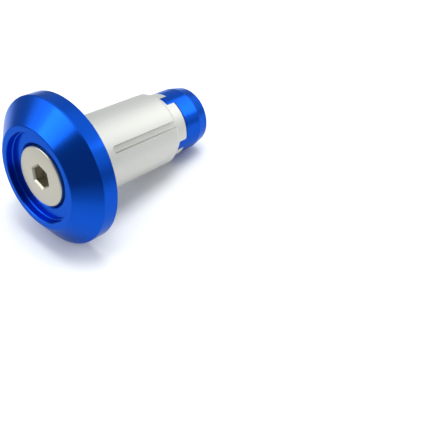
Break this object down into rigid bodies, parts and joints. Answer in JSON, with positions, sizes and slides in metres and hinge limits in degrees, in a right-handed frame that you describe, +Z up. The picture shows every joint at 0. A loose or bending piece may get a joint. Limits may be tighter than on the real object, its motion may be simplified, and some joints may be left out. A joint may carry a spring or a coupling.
{
  "type": "bar end weight",
  "caption": "Bar end weight with a blue anodised conical cap, a countersunk clamp screw, a silver plug sleeve and a blue wedge nut with tabs.",
  "frame": {"origin": "centre of the cap's back face, where it seats on the end of the bar", "axes": "+X along the bar's axis, out of the bar, so the cap faces +X and the plug goes into the bar towards -X; +Z up"},
  "size_m": [0.0418, 0.03, 0.03],
  "materials": {
    "blue_anodised": "satin blue anodised, finely turned",
    "silver_anodised": "matt silver anodised",
    "bright_screw": "bright plated steel with a fine satin top"
  },
  "bodies": {
    "plug": {"end_cap": "blue_anodised", "sleeve": "silver_anodised"},
    "screw": {"clamp_screw": "bright_screw"},
    "nut": {"wedge_nut": "blue_anodised"}
  },
  "joints": [
    {"name": "screw_turn", "type": "hinge", "parent": "plug", "child": "screw", "pos_m": [0, 0, 0], "axis": [1, 0, 0], "range_deg": [0, 720]},
    {"name": "nut_travel", "type": "slide", "parent": "plug", "child": "nut", "axis": [-1, 0, 0], "range_m": [0, 0.002]}
  ],
  "couplings": [
    {"joint": "nut_travel", "follows": "screw_turn", "m_per_rad": 0.00015915}
  ]
}
